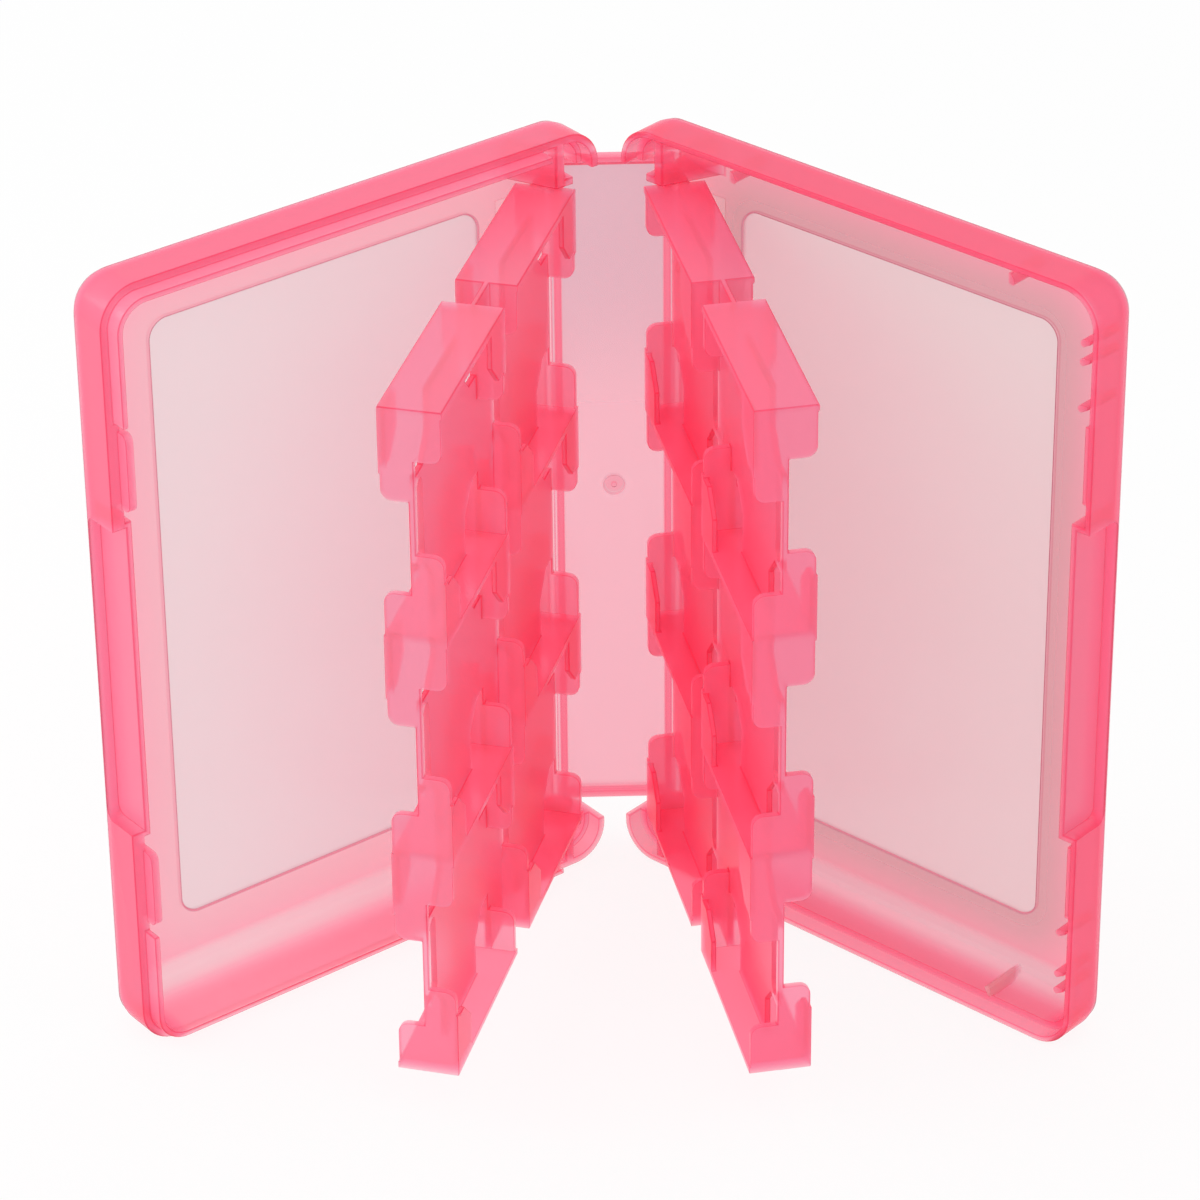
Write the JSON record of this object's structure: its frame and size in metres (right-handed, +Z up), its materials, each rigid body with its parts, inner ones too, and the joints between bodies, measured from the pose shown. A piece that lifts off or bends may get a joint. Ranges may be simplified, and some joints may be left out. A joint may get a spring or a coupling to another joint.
{
  "type": "game card case",
  "caption": "Folding book-style case for small game cards in frosted translucent plastic, with hinged covers and swinging two-sided pocket trays, standing open.",
  "frame": {"origin": "middle of the footprint of the case as it stands open, at the height of the edges it stands on", "axes": "+X across the open covers, from the left one to the right one; +Y from the opening edges to the spine; +Z up along the spine"},
  "size_m": [0.165, 0.0908, 0.142],
  "materials": {
    "cover_plastic": "frosted translucent pink",
    "spine_plastic": "frosted translucent pink, pale where thin",
    "tray_plastic": "frosted translucent pink"
  },
  "bodies": {
    "spine": {"spine_panel": "spine_plastic", "left_hinge_film": "spine_plastic", "right_hinge_film": "spine_plastic"},
    "left_cover": {"left_cover": "cover_plastic"},
    "right_cover": {"right_cover": "cover_plastic"},
    "left_tray": {"left_tray": "tray_plastic"},
    "right_tray": {"right_tray": "tray_plastic"}
  },
  "joints": [
    {"name": "left_cover_hinge", "type": "hinge", "parent": "spine", "child": "left_cover", "pos_m": [-0.00743, 0.04479, 0.071], "axis": [0, 0, -1], "range_deg": [-53.66, 36.34]},
    {"name": "right_cover_hinge", "type": "hinge", "parent": "spine", "child": "right_cover", "pos_m": [0.01457, 0.04479, 0.071], "axis": [0, 0, 1], "range_deg": [-46.92, 43.08]},
    {"name": "left_tray_pivot", "type": "hinge", "parent": "left_cover", "child": "left_tray", "pos_m": [-0.00695, 0.03807, 0.071], "axis": [0, 0, 1], "range_deg": [-37.7, 25.53]},
    {"name": "right_tray_pivot", "type": "hinge", "parent": "right_cover", "child": "right_tray", "pos_m": [0.01331, 0.03817, 0.071], "axis": [0, 0, -1], "range_deg": [-37.14, 34.1]}
  ],
  "couplings": [
    {"joint": "left_tray_pivot", "follows": "left_cover_hinge", "ratio": 0.70257},
    {"joint": "right_tray_pivot", "follows": "right_cover_hinge", "ratio": 0.79156}
  ]
}
